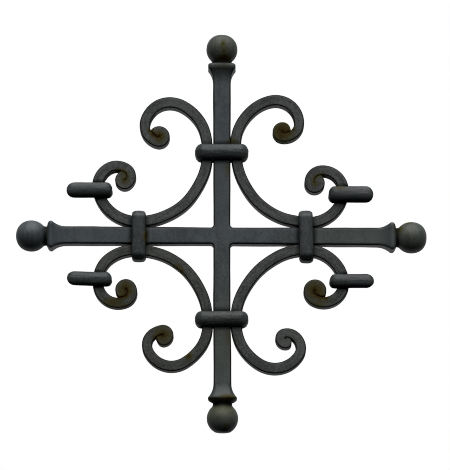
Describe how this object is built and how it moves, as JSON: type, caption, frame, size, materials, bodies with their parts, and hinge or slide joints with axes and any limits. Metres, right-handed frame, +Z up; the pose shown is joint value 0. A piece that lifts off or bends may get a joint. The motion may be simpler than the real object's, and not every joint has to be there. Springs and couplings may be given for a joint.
{
  "type": "wrought iron cross",
  "caption": "Forged iron cross of square bar with ball ends, a C-scroll in each corner, half-round binding collars and clips on the outer bends of the scrolls.",
  "frame": {"origin": "middle of the flat back of the crossing, where the cross is fixed", "axes": "+X to the right along the crossbar, +Y towards the back, +Z up along the upright; the front faces -Y"},
  "size_m": [0.4839, 0.036, 0.4779],
  "materials": {
    "bars": "satin dark grey paint over forged iron, a little rust at the balls",
    "scrolls": "satin dark grey paint with an olive cast, rust in the rolled eyes",
    "bands": "satin dark grey paint over hammered half-round iron"
  },
  "bodies": {
    "root": {"upright": "bars", "crossbar": "bars", "scroll_top_left": "scrolls", "scroll_top_right": "scrolls", "scroll_bottom_left": "scrolls", "scroll_bottom_right": "scrolls", "collar_top": "bands", "collar_bottom": "bands", "collar_left": "bands", "collar_right": "bands", "clip_top_left": "bands", "clip_top_right": "bands", "clip_bottom_left": "bands", "clip_bottom_right": "bands"}
  },
  "joints": []
}
